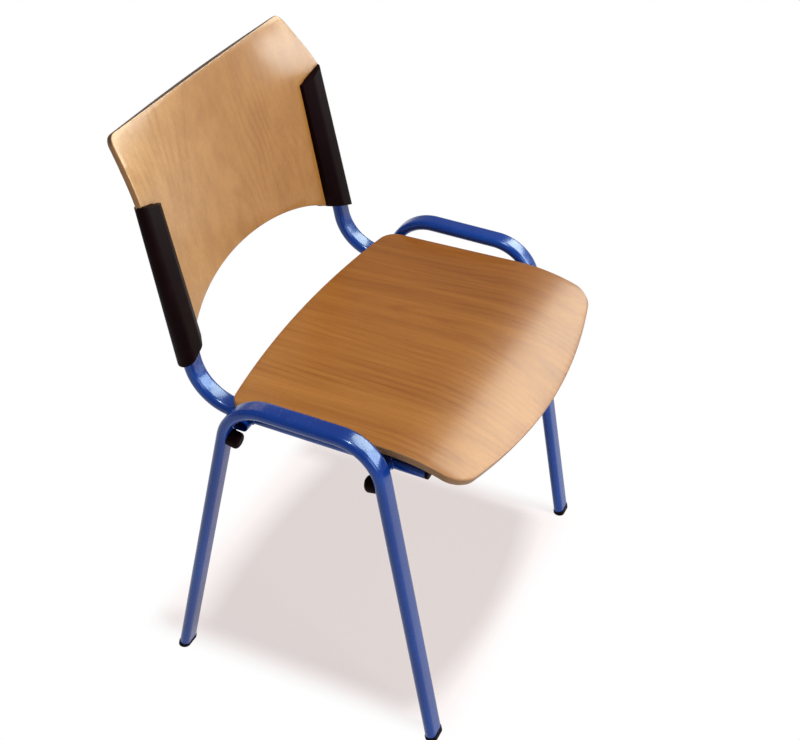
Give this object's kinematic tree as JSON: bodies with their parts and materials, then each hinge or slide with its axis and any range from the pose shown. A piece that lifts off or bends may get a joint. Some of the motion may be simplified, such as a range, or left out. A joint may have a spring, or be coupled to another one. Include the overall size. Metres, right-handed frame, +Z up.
{
  "type": "teacher chair",
  "caption": "Stacking chair with a bent flat-oval steel tube frame, a moulded plywood seat and a moulded plywood back held in black sleeves.",
  "frame": {"origin": "middle of the chair's bounding box, on the floor", "axes": "+X towards the sitter's left, -Y the way the chair faces, +Z up"},
  "size_m": [0.538, 0.5226, 0.7652],
  "materials": {
    "frame_blue": "glossy powder coat",
    "back_beech": "clear satin lacquer",
    "seat_beech": "clear satin lacquer",
    "black_plastic": "satin",
    "zinc": "zinc plated"
  },
  "bodies": {
    "root": {"leg_frame_left": "frame_blue", "leg_frame_right": "frame_blue", "seat_back_tube_left": "frame_blue", "seat_back_tube_right": "frame_blue", "front_cross_tube": "frame_blue", "rear_cross_tube": "frame_blue", "seat_shell": "seat_beech", "back_shell": "back_beech", "seat_screws": "zinc", "seat_insert_nuts": "zinc", "back_screws": "zinc", "back_sleeve_left": "black_plastic", "back_sleeve_right": "black_plastic", "foot_cap_front_left": "black_plastic", "foot_cap_front_right": "black_plastic", "foot_cap_rear_left": "black_plastic", "foot_cap_rear_right": "black_plastic", "tube_plug_left": "black_plastic", "tube_plug_right": "black_plastic", "buffer_front_left": "black_plastic", "buffer_front_right": "black_plastic", "buffer_rear_left": "black_plastic", "buffer_rear_right": "black_plastic", "seat_spacer_front_left": "black_plastic", "seat_spacer_front_right": "black_plastic", "seat_spacer_rear_left": "black_plastic", "seat_spacer_rear_right": "black_plastic"}
  },
  "joints": []
}
